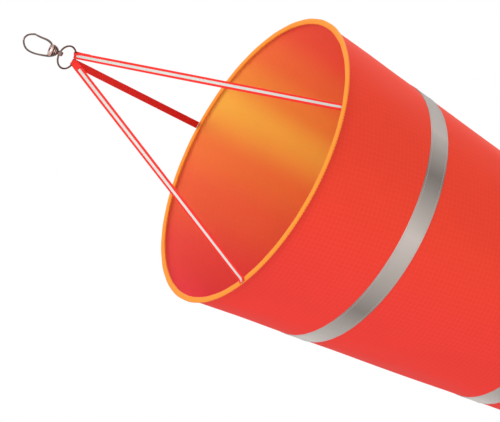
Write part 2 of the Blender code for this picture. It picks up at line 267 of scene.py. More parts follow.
def build_ripstop_group():
    """Weave of ripstop cloth on its flat cut. The cone is unrolled about its apex, so that the threads run
    straight."""
    group, given, result = new_group(
        "ripstop_weave",
        {"Vector": None, "Thread": 0.0004, "Grid": 0.005},
        {"Height": "Float", "Grid Line": "Float", "Round": "Float"},
    )
    slope = (mouth_radius - tail_radius) / (tail_x - mouth_x)
    apex_x = mouth_x + mouth_radius / slope
    lean = math.atan(slope)
    parts = link_nodes(group, "ShaderNodeSeparateXYZ", {0: given["Vector"]}).outputs
    from_seam = {"Vector": given["Vector"], "Angle": math.pi - seam_angle}
    turned = link_nodes(group, "ShaderNodeVectorRotate", from_seam, rotation_type="X_AXIS").outputs[0]
    turned = link_nodes(group, "ShaderNodeSeparateXYZ", {0: turned}).outputs
    fan = reckon(group, "MULTIPLY", reckon(group, "ARCTAN2", turned["Z"], turned["Y"]), math.sin(lean))
    reach = reckon(group, "DIVIDE", reckon(group, "SUBTRACT", apex_x, parts["X"]), math.cos(lean))
    lines = []
    height = 1.0
    for way in ("COSINE", "SINE"):
        flat = reckon(group, "MULTIPLY", reach, reckon(group, way, fan))
        thread = reckon(group, "MULTIPLY", reckon(group, "DIVIDE", flat, given["Thread"]), math.pi)
        height = reckon(group, "MULTIPLY", height, reckon(group, "SINE", thread))
        off_line = reckon(group, "PINGPONG", flat, reckon(group, "MULTIPLY", given["Grid"], 0.5))
        fade = {"Value": off_line, "From Min": 0.00012, "From Max": 0.00034, "To Min": 1.0, "To Max": 0.0}
        lines.append(link_nodes(group, "ShaderNodeMapRange", fade).outputs[0])
    line = reckon(group, "MAXIMUM", lines[0], lines[1])
    raised = reckon(group, "MULTIPLY_ADD", height, 0.5, 0.5)
    group.links.new(line, result["Grid Line"])
    group.links.new(reckon(group, "ADD", raised, line), result["Height"])
    group.links.new(turn_share(group, parts), result["Round"])
    return group


def build_mottle_group():
    """Uneven dye and faint soiling: broad soft patches and a finer grain, either side of the plain colour."""
    group, given, result = new_group(
        "uneven_dye",
        {"Vector": None, "Colour": (0.8, 0.8, 0.8, 1.0), "Amount": 0.06, "Scale": 12.0},
        {"Colour": "Color", "Patch": "Float"},
    )
    broad_noise = {"Vector": given["Vector"], "Scale": given["Scale"], "Detail": 4.0, "Roughness": 0.55}
    broad = link_nodes(group, "ShaderNodeTexNoise", broad_noise).outputs[0]
    fine_noise = {
        "Vector": given["Vector"],
        "Scale": reckon(group, "MULTIPLY", given["Scale"], 24.0),
        "Detail": 2.0,
    }
    fine = link_nodes(group, "ShaderNodeTexNoise", fine_noise).outputs[0]
    patch = reckon(group, "MULTIPLY_ADD", fine, 0.35, reckon(group, "MULTIPLY", broad, 0.65))
    spread = reckon(group, "MULTIPLY", reckon(group, "SUBTRACT", patch, 0.5), given["Amount"])
    shading = {0: given["Colour"], "Scale": reckon(group, "MULTIPLY_ADD", spread, 2.0, 1.0)}
    shaded = link_nodes(group, "ShaderNodeVectorMath", shading, operation="SCALE").outputs[0]
    group.links.new(patch, result["Patch"])
    group.links.new(shaded, result["Colour"])
    return group


ripstop_weave = build_ripstop_group()
uneven_dye = build_mottle_group()


def dyed(tree, place, colour, amount, scale):
    """The colour made a little uneven, and the mask of its patches."""
    inputs = {"Vector": place, "Colour": colour, "Amount": amount, "Scale": scale}
    return link_nodes(tree, "ShaderNodeGroup", inputs, node_tree=uneven_dye).outputs


def vary_roughness(tree, shader, patch, low, high):
    rough = link_nodes(tree, "ShaderNodeMapRange", {"Value": patch, "To Min": low, "To Max": high})
    tree.links.new(rough.outputs[0], shader.inputs["Roughness"])


def raise_surface(tree, shader, height, strength, distance):
    bump = link_nodes(tree, "ShaderNodeBump", {"Height": height, "Strength": strength, "Distance": distance})
    tree.links.new(bump.outputs[0], shader.inputs["Normal"])


def cloth_finish(name, steps):
    """Coated nylon whose colour changes by the given steps round the axis, which paint light and shade onto
    it.
    """
    material, tree, shader, place = new_finish(name, 0.60, specular=0.06)
    weave = link_nodes(tree, "ShaderNodeGroup", {"Vector": place}, node_tree=ripstop_weave).outputs
    dye = dyed(tree, place, colour_steps(tree, weave["Round"], steps), 0.05, 9.0)
    line_share = reckon(tree, "MULTIPLY", weave["Grid Line"], 0.03)
    line_colour = (1.0, 0.55, 0.42, 1.0)
    lining = {"Factor": line_share, 6: dye["Colour"], 7: line_colour}
    lined = link_nodes(tree, "ShaderNodeMix", lining, data_type="RGBA")
    tree.links.new(lined.outputs[2], shader.inputs["Base Color"])
    vary_roughness(tree, shader, dye["Patch"], 0.48, 0.68)
    raise_surface(tree, shader, weave["Height"], 0.18, 0.00010)
    return material


# Painted shade: the outside's red is made darker and lighter by these steps round the axis, to even out the
# light the lamps give it.
outside_painted_shade_steps = [
    (0.0, as_light(232, 65, 44)),
    (0.10, as_light(224, 62, 43)),
    (0.25, as_light(222, 56, 48)),
    (0.33, as_light(234, 55, 47)),
    (0.5, as_light(230, 56, 47)),
    (1.0, as_light(232, 65, 44)),
]
# Painted light: these steps paint an orange glow onto the inside's upper side, where daylight through the
# cloth would make it glow.
inside_painted_glow_steps = [
    (0.0, as_light(247, 78, 84)),
    (0.42, as_light(247, 79, 90)),
    (0.50, as_light(242, 89, 81)),
    (0.583, as_light(239, 112, 72)),
    (0.63, as_light(240, 131, 69)),
    (0.683, as_light(243, 190, 76)),
    (0.72, as_light(237, 146, 66)),
    (0.76, as_light(234, 117, 66)),
    (0.82, as_light(233, 90, 68)),
    (1.0, as_light(247, 78, 84)),
]
sleeve_outside = cloth_finish("red_ripstop_outside", outside_painted_shade_steps)
sleeve_inside = cloth_finish("red_ripstop_inside", inside_painted_glow_steps)


def thread_finish(name, colour):
    """Twisted polyester sewing thread."""
    material, tree, shader, place = new_finish(name, 0.5, specular=0.4, sheen=0.2)
    dye = dyed(tree, place, colour, 0.12, 60.0)
    tree.links.new(dye["Colour"], shader.inputs["Base Color"])
    plies = {"Vector": place, "Scale": 900.0}
    twist = link_nodes(tree, "ShaderNodeTexWave", plies, bands_direction="DIAGONAL")
    raise_surface(tree, shader, twist.outputs[1], 0.4, 0.0001)
    return material


red_thread = thread_finish("red_thread", as_light(214, 52, 42))


def build_sleeve():
    places = np.linspace(mouth_x + 0.0006, tail_x - hem_depth - 0.002, 118).tolist()
    places += [tail_x - hem_depth + step for step in (-0.0006, -0.0001, 0.0004, 0.002, 0.005, 0.008, 0.011)]
    places = np.array(places + [tail_x - 0.0006, tail_x])[:, None]
    off_seam = np.array([0.0019, 0.0038, 0.0042, 0.0047, 0.0070])
    off_seam = np.concatenate([-off_seam[::-1], [0.0], off_seam])
    near = seam_angle + off_seam[None, :] / cone_radius(places)
    rest = np.linspace(near[:, -1], near[:, 0] + math.tau, 262, axis=-1)[:, 1:-1]
    angles = np.concatenate([near, rest], axis=1)
    outer = cloth_radius(places, angles)
    inner = np.minimum(outer, cone_radius(places) + 0.0008) - cloth_thickness
    inner = inner - hem_rise * ease((places - tail_x + hem_depth) / 0.001)
    outer[-1] -= 0.0003
    inner[-1] += 0.0003
    grid = np.concatenate([round_axis(places, outer, angles), round_axis(places, inner, angles)[::-1]])
    slots = np.repeat([0, 1], len(places))
    slots[-1] = 0
    sleeve = skin("windsock_sleeve", grid, slots=slots)
    sleeve.data.materials.append(sleeve_outside)
    sleeve.data.materials.append(sleeve_inside)
    return sleeve


sleeve = build_sleeve()
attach(sleeve, "sock")
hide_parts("sleeve")

seam_x = np.tile(np.arange(mouth_x + 0.006, tail_x - 0.002, stitch_pitch), 2)
seam_turn = seam_angle + np.repeat([-0.0028, 0.0028], len(seam_x) // 2) / cone_radius(seam_x)
seam_slope = round_axis(0.0, (tail_radius - mouth_radius) / (tail_x - mouth_x), seam_turn)
seam_stitches = sew(
    "seam_stitches",
    round_axis(seam_x, cloth_radius(seam_x, seam_turn), seam_turn),
    seam_slope + np.array([1.0, 0.0, 0.0]),
    round_axis(0.0, 1.0, seam_turn),
    red_thread,
)
sleeve_trim = [
    seam_stitches,
    sew_round("tail_hem_stitches_1", tail_x - 0.0025, 0.0, red_thread),
    sew_round("tail_hem_stitches_2", tail_x - 0.0115, 0.0, red_thread),
]
for piece in sleeve_trim:
    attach(piece, "sock")


# ---- Reflective bands
# Four strips of 23 mm silver retroreflective tape sewn round the outside, each with a row of grey stitches
# 2 mm inside each edge. Bands of painted sheen make the bead face brighter and darker in turn round the cone.
tape_thickness = 0.0004


def build_tape_finish():
    material, tree, shader, place = new_finish("silver_reflective_tape", 0.40, metallic=0.45, specular=0.5)
    parts = link_nodes(tree, "ShaderNodeSeparateXYZ", {0: place}).outputs
    # Painted sheen: lighter and darker tones, set by the angle round the axis, stand in for reflections on
    # the bead face.
    light, pale, dark = as_light(214, 205, 199), as_light(196, 186, 179), as_light(124, 116, 110)
    behind = as_light(188, 178, 172)
    painted_sheen_tones = [(0.0, behind), (0.06, dark), (0.136, pale), (0.244, dark), (0.345, light), (0.46, dark)]
    painted_sheen_tones += [(0.56, light), (0.68, dark), (0.80, light), (0.90, dark), (1.0, behind)]
    painted_sheen_tone = colour_steps(tree, turn_share(tree, parts), painted_sheen_tones, "LINEAR")
    dye = dyed(tree, place, painted_sheen_tone, 0.06, 30.0)
    tree.links.new(dye["Colour"], shader.inputs["Base Color"])
    vary_roughness(tree, shader, dye["Patch"], 0.30, 0.52)
    beads = link_nodes(tree, "ShaderNodeTexVoronoi", {"Vector": place, "Scale": 2600.0})
    raise_surface(tree, shader, beads.outputs[0], 0.25, 0.0001)
    return material


silver_tape = build_tape_finish()
grey_thread = thread_finish("grey_thread", as_light(176, 170, 165))


def build_band(number, start):
    end = start + band_width
    edge = np.array([0.0, 0.00005, 0.0004, 0.0014, band_seam, 0.0026, 0.0045])
    edge_lift = [0.10, 0.80, 0.98, 0.95, 0.80, 0.96, 1.0]
    places = (start + np.concatenate([edge, [band_width / 2], band_width - edge[::-1]]))[:, None]
    lift = np.array([*edge_lift, 1.0, *edge_lift[::-1]])[:, None]
    angles = np.linspace(0, math.tau, 288, endpoint=False)[None, :]
    base = cloth_radius(places, angles)
    upper = round_axis(places, base + tape_thickness * lift, angles)
    under_places = np.array([end, start])[:, None]
    under = round_axis(under_places, cloth_radius(under_places, angles) - 0.00005, angles)
    band = skin(f"silver_band_{number}", np.concatenate([upper, under]))
    band.data.materials.append(silver_tape)
    rows = [
        sew_round(f"band_stitches_{number}{label}", place, tape_thickness * 0.8, grey_thread)
        for label, place in (("a", start + band_seam), ("b", end - band_seam))
    ]
    return band, rows


for number, band_start in enumerate(band_starts, 1):
    band, rows = build_band(number, band_start)
    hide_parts(f"reflective_band_{number}")
    for piece in [band, *rows]:
        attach(piece, "sock")
        sleeve_trim.append(piece)


# ---- Mouth binding
# Orange woven tape folded over the sleeve's front edge and the hoop that holds the mouth open. A row of
# stitches on each side, just behind the hoop, draws it into small even puckers.
binding_radius = 0.1497


def build_binding_finish():
    material, tree, shader, place = new_finish("orange_woven_tape", 0.62, specular=0.15, sheen=0.04)
    parts = link_nodes(tree, "ShaderNodeSeparateXYZ", {0: place}).outputs
    turn = reckon(tree, "ARCTAN2", parts["Z"], parts["Y"])
    ribs = reckon(tree, "SINE", reckon(tree, "MULTIPLY", turn, 900.0))
    picks = reckon(tree, "SINE", reckon(tree, "MULTIPLY", parts["X"], 9000.0))
    dye = dyed(tree, place, as_light(232, 136, 42), 0.07, 40.0)
    tree.links.new(dye["Colour"], shader.inputs["Base Color"])
    vary_roughness(tree, shader, dye["Patch"], 0.52, 0.72)
    raise_surface(tree, shader, reckon(tree, "MULTIPLY", ribs, picks), 0.3, 0.00015)
    return material


def build_binding():
    section = [(0.0013, 0.0004), (0.0013, 0.0012), (0.0011, 0.0020), (0.0008, 0.0026), (0.0002, 0.0029)]
    section += [(-0.0006, 0.0028), (-0.0011, 0.0022), (-0.0014, 0.0012), (-0.0015, 0.0), (-0.0014, -0.0012)]
    section += [(-0.0011, -0.0022), (-0.0006, -0.0028), (0.0002, -0.0029), (0.0008, -0.0027)]
    section += [(0.0011, -0.0022), (0.0013, -0.0016), (0.0013, -0.0011), (0.0010, -0.0004)]
    angles = np.linspace(0, math.tau, 480, endpoint=False)
    gather = 0.5 + 0.5 * np.sin(96 * angles + 1.2 * np.sin(7 * angles))
    rows = []
    for along, out in section:
        behind = np.clip((along + 0.0004) / 0.0017, 0.0, 1.0)
        reach = out * (1 - 0.13 * behind * gather) + 0.00012 * np.sin(31 * angles + 2.0)
        rows.append(round_axis(mouth_x + along, binding_radius + reach, angles))
    binding = skin("orange_mouth_binding", np.array(rows))
    binding.data.materials.append(orange_tape)
    return binding


orange_tape = build_binding_finish()
orange_thread = thread_finish("orange_thread", as_light(240, 150, 62))
binding = build_binding()
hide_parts("mouth_binding")
binding_angles = (np.arange(290) + 0.5) * math.tau / 290
binding_rows = [
    sew(
        f"binding_stitches_{label}",
        round_axis(mouth_x + 0.0008, binding_radius + way * 0.0024, binding_angles),
        round_way(binding_angles),
        round_axis(0.6, way, binding_angles),
        orange_thread,
        length=0.0022,
    )
    for label, way in (("outer", 1.0), ("inner", -1.0))
]
for piece in [binding, *binding_rows]:
    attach(piece, "sock")
    sleeve_trim.append(piece)


# ---- Wire ring
# A 24 mm ring of 1.8 mm steel wire, bent round and butted shut, plated dark like the hook. It runs in the
# hook's eye, and the straps are folded round its far side.
ring_centre = sum(np.array(corner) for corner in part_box("wire_ring")) / 2
ring_radius = 0.0113
ring_wire = 0.0018
ring_turn = np.array(Euler((math.radians(137.46), math.radians(-16.87), math.radians(16.65))).to_matrix())


def build_plating_group():
    """Dark plating over steel: slightly rubbed in soft patches, with faint fine scratches."""
    group, given, result = new_group(
        "rubbed_plating",
        {"Vector": None, "Plating": (0.2, 0.15, 0.13, 1.0), "Rubbed": (0.6, 0.5, 0.46, 1.0), "Wear": 0.5},
        {"Colour": "Color", "Roughness": "Float", "Height": "Float"},
    )
    smudges = {"Vector": given["Vector"], "Scale": 90.0, "Detail": 2.0, "Roughness": 0.5}
    smudge = link_nodes(group, "ShaderNodeTexNoise", smudges).outputs[0]
    scratches = {"Vector": given["Vector"], "Scale": 1900.0, "Detail": 3.0}
    scratch = link_nodes(group, "ShaderNodeTexNoise", scratches).outputs[0]
    wearing = {"Value": smudge, "From Min": 0.35, "From Max": 0.75, "To Max": given["Wear"]}
    worn = link_nodes(group, "ShaderNodeMapRange", wearing).outputs[0]
    mixing = {"Factor": worn, 6: given["Plating"], 7: given["Rubbed"]}
    mixed = link_nodes(group, "ShaderNodeMix", mixing, data_type="RGBA")
    dulling = {"Value": smudge, "From Min": 0.3, "From Max": 0.7, "To Min": 0.20, "To Max": 0.34}
    rough = link_nodes(group, "ShaderNodeMapRange", dulling).outputs[0]
    group.links.new(mixed.outputs[2], result["Colour"])
    group.links.new(rough, result["Roughness"])
    group.links.new(scratch, result["Height"])
    return group


rubbed_plating = build_plating_group()


def metal_finish(name, plating, rubbed, wear):
    material, tree, shader, place = new_finish(name, 0.26, metallic=1.0)
    inputs = {"Vector": place, "Plating": plating, "Rubbed": rubbed, "Wear": wear}
    plate = link_nodes(tree, "ShaderNodeGroup", inputs, node_tree=rubbed_plating).outputs
    tree.links.new(plate["Colour"], shader.inputs["Base Color"])
    tree.links.new(plate["Roughness"], shader.inputs["Roughness"])
    raise_surface(tree, shader, plate["Height"], 0.06, 0.00005)
    return material


wire_metal = metal_finish("dark_plated_wire", as_light(100, 84, 78), as_light(138, 118, 112), 0.5)


def build_ring():
    turns = np.linspace(0, math.tau, 161)[:-1]
    around = np.linspace(0, math.tau, 21)[:-1]
    butt = math.radians(100)
    off_butt = np.abs((turns - butt + math.pi) % math.tau - math.pi) * ring_radius
    wire = ring_wire / 2 * (1 - 0.14 * np.exp(-((off_butt / 0.0003) ** 2)))
    rim = ring_radius + wire[:, None] * np.cos(around)[None, :]
    flat = np.stack([rim * np.cos(turns)[:, None], rim * np.sin(turns)[:, None]], axis=-1)
    high = wire[:, None] * np.sin(around)[None, :]
    local = np.concatenate([flat, high[..., None]], axis=-1)
    ring = skin("wire_ring_of_the_bridle", ring_centre + local @ ring_turn.T)
    ring.data.materials.append(wire_metal)
    return ring


ring = build_ring()
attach(ring, "sock")
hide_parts("wire_ring")


# ---- Bridle straps
# Three lengths of 7 mm red webbing from the ring to the mouth. One folds back on itself round the ring. One
# folds the other way, and its tail is sewn down over the end of the third. One ends inside the mouth and two
# on the binding's face, each under a bar tack, and a narrow reflective stripe runs along each outer side.
webbing_width = 0.0070
webbing_thickness = 0.0010
stripe_width = 0.0026
stripe_thickness = 0.0003
rib_pitch = 0.0011
fold_radius = 0.00143
fold_spread = math.radians(17.0)
sewn_reach = 0.0060
strap_tail = 0.0080
strap_starts = {2: 0.0026, 3: 0.0030}
strap_angles = {1: math.radians(196.2), 2: math.radians(276.0), 3: math.radians(52.9)}
ring_angles = {1: math.radians(31.5), 3: math.radians(-5.0)}


def unit(vector):
    return vector / np.linalg.norm(vector)


def square_to(vector, axis):
    return unit(vector - axis * np.dot(vector, axis))


def ring_spot(turn):
    """A point of the ring's wire and the wire's direction there."""
    out = ring_turn @ np.array([math.cos(turn), math.sin(turn), 0.0])
    along = ring_turn @ np.array([-math.sin(turn), math.cos(turn), 0.0])
    return ring_centre + out * ring_radius, along


def rim_end(number):
    """Where each strap meets the mouth, as points from in front of the rim to the strap's cut end."""
    if number == 1:
        spots = [(-0.0060, 0.1410), (-0.0012, 0.1442), (0.0030, 0.1460), (0.0080, 0.1471), (0.0145, 0.1468)]
    else:
        spots = [(-0.0075, 0.1462), (-0.0046, 0.1480), (-0.0030, 0.1495)]
        spots += [(-0.0022, 0.1514), (-0.0016, 0.1531)]
    return [round_axis(mouth_x + x, radius, strap_angles[number]) for x, radius in spots]


def straight_run(start, end):
    """Points along the taut stretch of a strap, closer together at its start."""
    near = [start + unit(end - start) * step for step in (0.0, 0.004, 0.008)]
    return near + [start + (end - start) * part / 12 for part in range(1, 12)]


def run_sides(path, first, last):
    """Width directions along a strap that turns evenly from its first one to its last."""
    sides = []
    for spot, point in enumerate(path):
        before, after = path[max(spot - 1, 0)], path[min(spot + 1, len(path) - 1)]
        share = min(np.linalg.norm(point - path[0]) / np.linalg.norm(path[-1] - path[0]), 1.0)
        sides.append(square_to(first * (1 - share) + last * share, unit(after - before)))
    return sides


def matched(side, other):
    return side if np.dot(side, other) > 0 else -side


def facing(vector, number):
    """The vector or its opposite, whichever points away from the sock's axis on a strap's side."""
    return matched(vector, round_axis(-0.5, 1.0, strap_angles[number]))


def across(path, sides):
    """Rows of three points across a strap."""
    return [[point + side * (k * webbing_width / 2) for k in (-1, 0, 1)] for point, side in zip(path, sides)]


def fold_rows(number, tail_end, main_end):
    """Rows of a strap's fold round the ring. Its middle and its two edges each bend round the wire where they
    cross the wire's curve."""
    middle, _ = ring_spot(ring_angles[number])
    lines = []
    for k in (-1, 0, 1):
        spot, along = ring_spot(ring_angles[number] + k * fold_spread)
        tail_way, main_way = square_to(tail_end - middle, along), square_to(main_end - middle, along)
        main_face = facing(np.cross(along, main_way), number)
        tail_face = facing(np.cross(along, tail_way), 2) if number == 3 else -main_face
        back = -unit(tail_way + main_way)
        spread = math.acos(np.clip(np.dot(main_face, back), -1.0, 1.0))
        line = []
        for step in range(13):
            turn = spread * (1 - step / 6)
            lean = square_to(tail_face if turn > 0 else main_face, back)
            line.append(spot + (back * math.cos(turn) + lean * math.sin(abs(turn))) * fold_radius)
        lines.append(line)
    return [list(row) for row in zip(*lines)]


def lay_straps():
    """Each strap's rows of points, and how many of them its fold takes."""
    laid = {}
    ends = {number: rim_end(number) for number in (1, 2, 3)}
    rim_side = {number: round_way(turn) for number, turn in strap_angles.items()}
    layer = webbing_thickness / 2 + 0.00002

    spot, along = ring_spot(ring_angles[1])
    heading = unit(ends[1][0] - spot)
    side = square_to(along, heading)
    out = facing(np.cross(heading, side), 1)
    tail = [spot + heading * (sewn_reach + strap_tail * k / 3) - out * layer for k in (3, 2, 1, 0)]
    front = spot + heading * sewn_reach + out * layer
    main = straight_run(front, ends[1][0]) + ends[1]
    fold = fold_rows(1, ends[1][0], ends[1][0])
    rows = across(tail, [side] * 4) + fold + across(main, run_sides(main, side, matched(rim_side[1], side)))
    laid[1] = (rows, 4 + len(fold))

    spot, along = ring_spot(ring_angles[3])
    heading = unit(ends[3][0] - spot)
    side = square_to(along, heading)
    tail_way = unit(ends[2][0] - spot)
    tail_side = square_to(along, tail_way)
    over = facing(np.cross(tail_way, tail_side), 2)
    tail = [spot + tail_way * (strap_tail * k / 4) + over * fold_radius for k in (4, 3, 2, 1)]
    start = spot + facing(np.cross(heading, side), 3) * fold_radius + heading * strap_starts[3]
    main = straight_run(start, ends[3][0]) + ends[3]
    fold = fold_rows(3, ends[2][0], ends[3][0])
    sides = run_sides(main, side, matched(rim_side[3], side))
    rows = across(tail, [tail_side] * 4) + fold + across(main, sides)
    laid[3] = (rows, 4 + len(fold))

    start = spot + over * (fold_radius - webbing_thickness - 0.00003) + tail_way * strap_starts[2]
    main = straight_run(start, ends[2][0]) + ends[2]
    laid[2] = (across(main, run_sides(main, tail_side, matched(rim_side[2], tail_side))), 0)
    return laid


def between(first, last, start, end, place):
    """What lies at a place on the straight line from first, at start, to last, at end."""
    return ((end - place) * first + (place - start) * last) / (end - start)


def smooth_run(rows, step):
    """Rows of three points, rounded off and set at even steps along the middle one, and the run so far."""
    lines = np.array(rows).reshape(len(rows), 9)
    lines = np.concatenate([2 * lines[:1] - lines[1:2], lines, 2 * lines[-1:] - lines[-2:-1]])
    gaps = np.linalg.norm(np.diff(lines[:, 3:6], axis=0), axis=1)
    knots = np.concatenate([[0.0], np.cumsum(gaps**0.5)])
    fine = []
    for spot in range(1, len(lines) - 2):
        points, k = lines[spot - 1 : spot + 3], knots[spot - 1 : spot + 3]
        for place in np.linspace(k[1], k[2], 24, endpoint=False):
            near = [between(points[n], points[n + 1], k[n], k[n + 1], place) for n in (0, 1, 2)]
            nearer = [between(near[n], near[n + 1], k[n], k[n + 2], place) for n in (0, 1)]
            fine.append(between(*nearer, k[1], k[2], place))
    fine = np.array(fine + [lines[-2]])
    run = np.concatenate([[0.0], np.cumsum(np.linalg.norm(np.diff(fine[:, 3:6], axis=0), axis=1))])
    marks = np.linspace(0.0, run[-1], int(run[-1] / step) + 1)
    even = np.stack([np.interp(marks, run, fine[:, column]) for column in range(9)], axis=1)
    return even.reshape(-1, 3, 3), marks


def tape_face(lines, share):
    """A point of the tape's middle sheet at each place along it, and the sheet's normal there. share runs
    from -1 at one edge, through 0 in the middle, to 1 at the other."""
    left, middle, right = lines[:, 0], lines[:, 1], lines[:, 2]
    point = left * (share * (share - 1) / 2) + middle * (1 - share * share)
    point = point + right * (share * (share + 1) / 2)
    side = left * (share - 0.5) - middle * 2 * share + right * (share + 0.5)
    forward = np.gradient(point, axis=0)
    normal = np.cross(forward, side)
    return point, normal / np.linalg.norm(normal, axis=1, keepdims=True)


def sweep_tape(name, lines, turned_out, width, thickness, lift=0.0, ribs=None):
    """A flat tape with rounded edges over three lines. ribs swells its two faces by a share at each place."""
    shares = [-0.86, -0.6, -0.3, 0.0, 0.3, 0.6, 0.86, 0.965, 1.0, 0.965]
    high = [0.97, 1.0, 1.0, 1.0, 1.0, 1.0, 0.97, 0.70, 0.0, -0.70]
    shares += [-value for value in shares]
    high += [-value for value in high]
    swell = np.ones(len(lines)) if ribs is None else 1 + ribs
    columns = []
    for share, level in zip(shares, high):
        point, normal = tape_face(lines, share * width / webbing_width)
        columns.append(point + normal * (turned_out * (lift + level * thickness / 2 * swell))[:, None])
    return skin(name, np.stack(columns, axis=1), capped=True)


def webbing_finish(name, colour, rough_low, rough_high, scale, grain, metallic=0.0):
    material, tree, shader, place = new_finish(name, 0.6, specular=0.15, sheen=0.04, metallic=metallic)
    dye = dyed(tree, place, colour, 0.10, scale)
    tree.links.new(dye["Colour"], shader.inputs["Base Color"])
    vary_roughness(tree, shader, dye["Patch"], rough_low, rough_high)
    fibres = link_nodes(tree, "ShaderNodeTexNoise", {"Vector": place, "Scale": grain, "Detail": 3.0})
    raise_surface(tree, shader, fibres.outputs[0], 0.3, 0.0001)
    return material


red_webbing = webbing_finish("red_webbing", as_light(222, 43, 37), 0.55, 0.75, 60.0, 3200.0)
pale_stripe = webbing_finish("pale_reflective_stripe", as_light(190, 194, 188), 0.40, 0.55, 90.0, 2600.0, 0.2)


def bar_tack(name, lines, spot, lift):
    """A dense zigzag of stitches across a strap at one place along it, on the face that lift points to."""
    middles, slants, outs = [], [], []
    for row, share in enumerate(np.linspace(-0.84, 0.84, 11)):
        point, normal = tape_face(lines, share)
        forward = unit(point[spot + 1] - point[spot - 1])
        side = np.cross(normal[spot], forward)
        middles.append(point[spot] + normal[spot] * lift)
        slants.append(forward + side * (0.28 if row % 2 else -0.28))
        outs.append(normal[spot] * math.copysign(1.0, lift))
    return sew(name, middles, slants, outs, red_thread, thread=0.00042, length=0.0016)


stripe_starts = {1: 0.0006, 2: 0.0056, 3: 0.0020}
stripe_ends = {1: 0.0120, 2: 0.0, 3: 0.0}
for number, (rows, fold_count) in sorted(lay_straps().items()):
    lines, marks = smooth_run(rows, 0.00036)
    middle_normal = tape_face(lines, 0.0)[1][len(lines) * 2 // 3]
    turned_out = 1.0 if np.dot(middle_normal, round_axis(-0.5, 1.0, strap_angles[number])) > 0 else -1.0
    cut_ends = np.minimum(marks, marks[-1] - marks)
    ribs = 0.08 * np.sin(marks * math.tau / rib_pitch) - 0.25 * np.exp(-cut_ends / 0.0003)
    name = f"webbing_strap_{number}"
    strap = sweep_tape(name, lines, turned_out, webbing_width, webbing_thickness, ribs=ribs)
    strap.data.materials.append(red_webbing)
    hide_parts(f"bridle_strap_{number}")
    fold_end = 0
    if fold_count:
        fold_end = np.argmin(np.linalg.norm(lines[:, 1] - rows[fold_count - 1][1], axis=1))
    first = np.searchsorted(marks, marks[fold_end] + stripe_starts[number])
    last = np.searchsorted(marks, marks[-1] - stripe_ends[number])
    stripe_lift = webbing_thickness / 2 + 0.00010
    name = f"reflective_stripe_{number}"
    stripe = sweep_tape(name, lines[first:last], turned_out, stripe_width, stripe_thickness, lift=stripe_lift)
    stripe.data.materials.append(pale_stripe)
    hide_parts(f"strap_stripe_{number}")
    outer = turned_out * webbing_thickness / 2
    rim_mark = marks[-1] - 0.0016
    tacks = {
        1: [("ring", 0.0020, -outer), ("rim", marks[-1] - 0.0030, -outer)],
        2: [("rim", rim_mark, outer)],
        3: [("ring", 0.0020, -outer), ("rim", rim_mark, outer)],
    }[number]
    pieces = [strap, stripe]
    for label, mark, lift in tacks:
        pieces.append(bar_tack(f"bar_tack_{number}_{label}", lines, np.searchsorted(marks, mark), lift))
    for piece in pieces:
        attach(piece, "sock")


# ---- Swivel eye
# A forged round eye on a short stud. The stud passes through the hook's housing and is riveted over a washer
# face on the far side, so the hook turns freely on it.
stud_yaw = math.radians(-7.8)
stud_axis = np.array([math.cos(stud_yaw), math.sin(stud_yaw), 0.0])
eye_x = 0.03675
eye_hole = 0.0016
eye_outer = 0.0034
eye_half = 0.0022
housing_start = 0.0262
housing_end = 0.0328
cast_metal = metal_finish("dark_plated_casting", as_light(104, 84, 78), as_light(186, 156, 148), 0.6)


def turn_round(name, profile, frame_axes, middle, steps, flatten=1.0, capped=False):
    """A shape turned about the first of three axes, from points given along and out from it."""
    turns = np.linspace(0, math.tau, steps, endpoint=False)
    rows = []
    for along, out in profile:
        local = np.stack([np.full(steps, along), out * np.cos(turns), flatten * out * np.sin(turns)], axis=-1)
        rows.append(middle + local @ np.array(frame_axes))
    return skin(name, np.array(rows), capped=capped)


def rounded(profile, radius, closed=False):
    """The profile with each corner cut into three points, so that its edges catch the light."""
    points = [np.array(point) for point in profile]
    count = len(points)
    result = []
    for spot, point in enumerate(points):
        if not closed and spot in (0, count - 1):
            result.append(point)
            continue
        before, after = points[spot - 1] - point, points[(spot + 1) % count] - point
        cut = min(radius, 0.45 * np.linalg.norm(before), 0.45 * np.linalg.norm(after))
        first, last = point + unit(before) * cut, point + unit(after) * cut
        result += [first, first * 0.25 + point * 0.5 + last * 0.25, last]
    return [tuple(point) for point in result]


def across_of(axis):
    """Two directions square to an axis and to each other."""
    first = square_to(np.array([0.3, 0.2, 1.0]), axis)
    return first, np.cross(axis, first)


def build_eye():
    hole_axis = ring_turn[:, 1]
    crosswise = square_to(hole_axis, stud_axis)
    corner = 0.0008
    profile = [(eye_half - corner, eye_outer), (corner - eye_half, eye_outer)]
    profile += [(-eye_half, eye_outer - corner), (-eye_half, eye_hole + corner)]
    profile += [(corner - eye_half, eye_hole), (eye_half - corner, eye_hole)]
    profile += [(eye_half, eye_hole + corner), (eye_half, eye_outer - corner)]
    profile = rounded(profile, 0.0003, closed=True)
    eye_axes = (hole_axis, *across_of(hole_axis))
    eye = turn_round("swivel_eye_ring", profile, eye_axes, stud_axis * eye_x, 48)
    stud_profile = [(eye_x - eye_hole - 0.0007, 0.0004), (eye_x - eye_hole - 0.0008, 0.0016)]
    stud_profile += [(eye_x - eye_outer + 0.0010, 0.0026), (housing_end + 0.0013, 0.0032)]
    stud_profile += [(housing_end + 0.0009, 0.0040), (housing_end + 0.0003, 0.0042)]
    stud_profile += [(housing_end + 0.0003, 0.0011), (housing_start - 0.0003, 0.0011)]
    stud_profile += [(housing_start - 0.0003, 0.0017), (housing_start - 0.0006, 0.0016)]
    stud_profile += [(housing_start - 0.0009, 0.0010), (housing_start - 0.0010, 0.0003)]
    stud_profile = rounded(stud_profile, 0.0002)
    stud_axes = (stud_axis, crosswise, np.cross(stud_axis, crosswise))
    return eye, turn_round("swivel_stud", stud_profile, stud_axes, np.zeros(3), 40, capped=True)


for piece in build_eye():
    piece.data.materials.append(cast_metal)
    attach(piece, "sock")
    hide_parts("swivel_eye")


